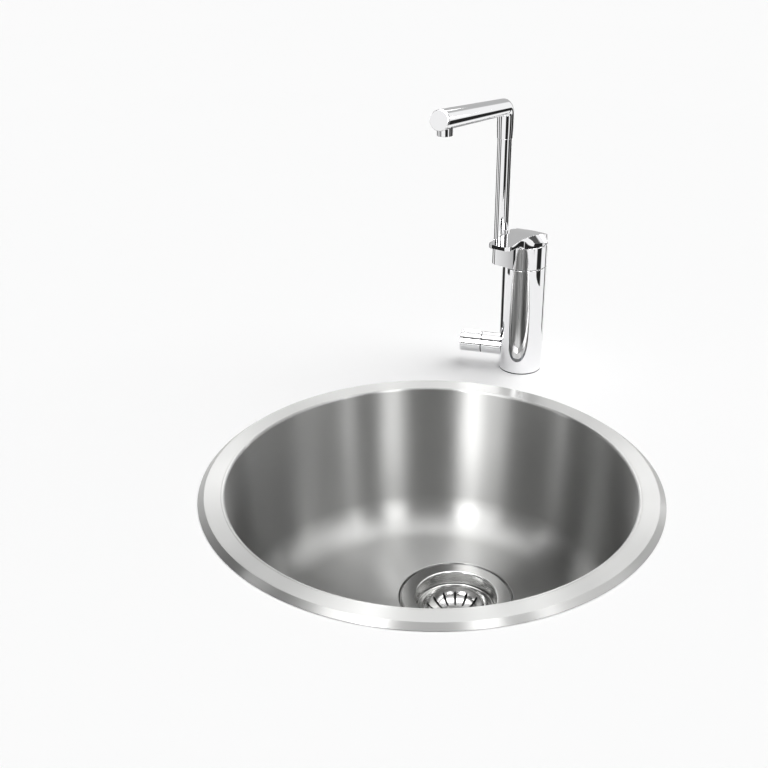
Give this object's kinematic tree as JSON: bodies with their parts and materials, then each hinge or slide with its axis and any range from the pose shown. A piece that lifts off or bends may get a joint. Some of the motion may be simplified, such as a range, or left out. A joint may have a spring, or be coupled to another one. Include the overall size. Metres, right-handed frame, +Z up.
{
  "type": "sink with mixer tap",
  "caption": "Round inset steel sink with a basket strainer waste, and a lever mixer tap with a swivel spout beside it.",
  "frame": {"origin": "centre of the bowl's rim, on the worktop's surface", "axes": "+Z up, +Y from the user towards the wall, so the tap stands at +Y"},
  "size_m": [0.44, 0.5142, 0.5773],
  "materials": {
    "satin_steel": "satin pressed stainless sheet",
    "polished_steel": "polished stainless",
    "zinc_steel": "zinc-plated",
    "chrome_tap": "polished chrome plate",
    "brass_fittings": "machined",
    "black_rubber": "matt",
    "bitumen": "matt felted pad",
    "grey_plastic": "moulded",
    "white_plastic": "moulded",
    "black_plastic": "moulded"
  },
  "bodies": {
    "fixed": {"bowl": "satin_steel", "rim_seal": "black_rubber", "clamp_rail": "zinc_steel", "clamps": "zinc_steel", "clamp_screws": "zinc_steel", "sound_pad": "bitumen", "strainer_cup": "polished_steel", "flange_seal": "black_rubber", "housing_seal": "black_rubber", "waste_housing": "grey_plastic", "waste_screw": "polished_steel", "base_gasket": "black_rubber", "tap_body": "chrome_tap", "inlet_nipples": "brass_fittings", "mounting_shank": "brass_fittings", "shank_rubber_washer": "black_rubber", "shank_steel_washer": "zinc_steel", "shank_nut": "brass_fittings", "joint_ring": "black_plastic", "tap_head": "chrome_tap", "index_marks": "black_plastic", "cartridge_seal": "black_rubber", "cartridge": "white_plastic", "cartridge_nut": "brass_fittings", "swivel_bush": "white_plastic", "valve_stub": "chrome_tap", "valve_works": "brass_fittings"},
    "spout": {"spout_riser": "chrome_tap", "riser_orings": "black_rubber", "spout_arm": "chrome_tap", "spout_end_cap": "chrome_tap", "aerator_collar": "chrome_tap", "aerator_insert": "white_plastic"},
    "lever_base": {"lever_carrier": "brass_fittings", "lever_pin": "polished_steel"},
    "lever": {"lever": "chrome_tap"},
    "valve_knob": {"valve_stem": "brass_fittings", "valve_knob": "chrome_tap"},
    "basket": {"strainer_basket": "polished_steel", "basket_post": "polished_steel", "basket_plug": "black_rubber", "basket_nut": "polished_steel"}
  },
  "joints": [
    {"name": "spout_swivel", "type": "hinge", "parent": "fixed", "child": "spout", "pos_m": [0.07503, 0.26724, 0.1515], "axis": [0, 0, 1], "range_deg": [-60, 60]},
    {"name": "lever_turn", "type": "hinge", "parent": "fixed", "child": "lever_base", "pos_m": [0.10239, 0.2658, 0.1505], "axis": [0, 0, 1], "range_deg": [-5, 35]},
    {"name": "lever_lift", "type": "hinge", "parent": "lever_base", "child": "lever", "pos_m": [0.10875, 0.27598, 0.1534], "axis": [-0.848, 0.5299, 0], "range_deg": [0, 15]},
    {"name": "valve_turn", "type": "hinge", "parent": "fixed", "child": "valve_knob", "pos_m": [0.10239, 0.2658, 0.025], "axis": [-0.9703, 0.2419, 0], "range_deg": [0, 90]},
    {"name": "basket_lift", "type": "slide", "parent": "fixed", "child": "basket", "axis": [0, 0, 1], "range_m": [0, 0.08]}
  ]
}
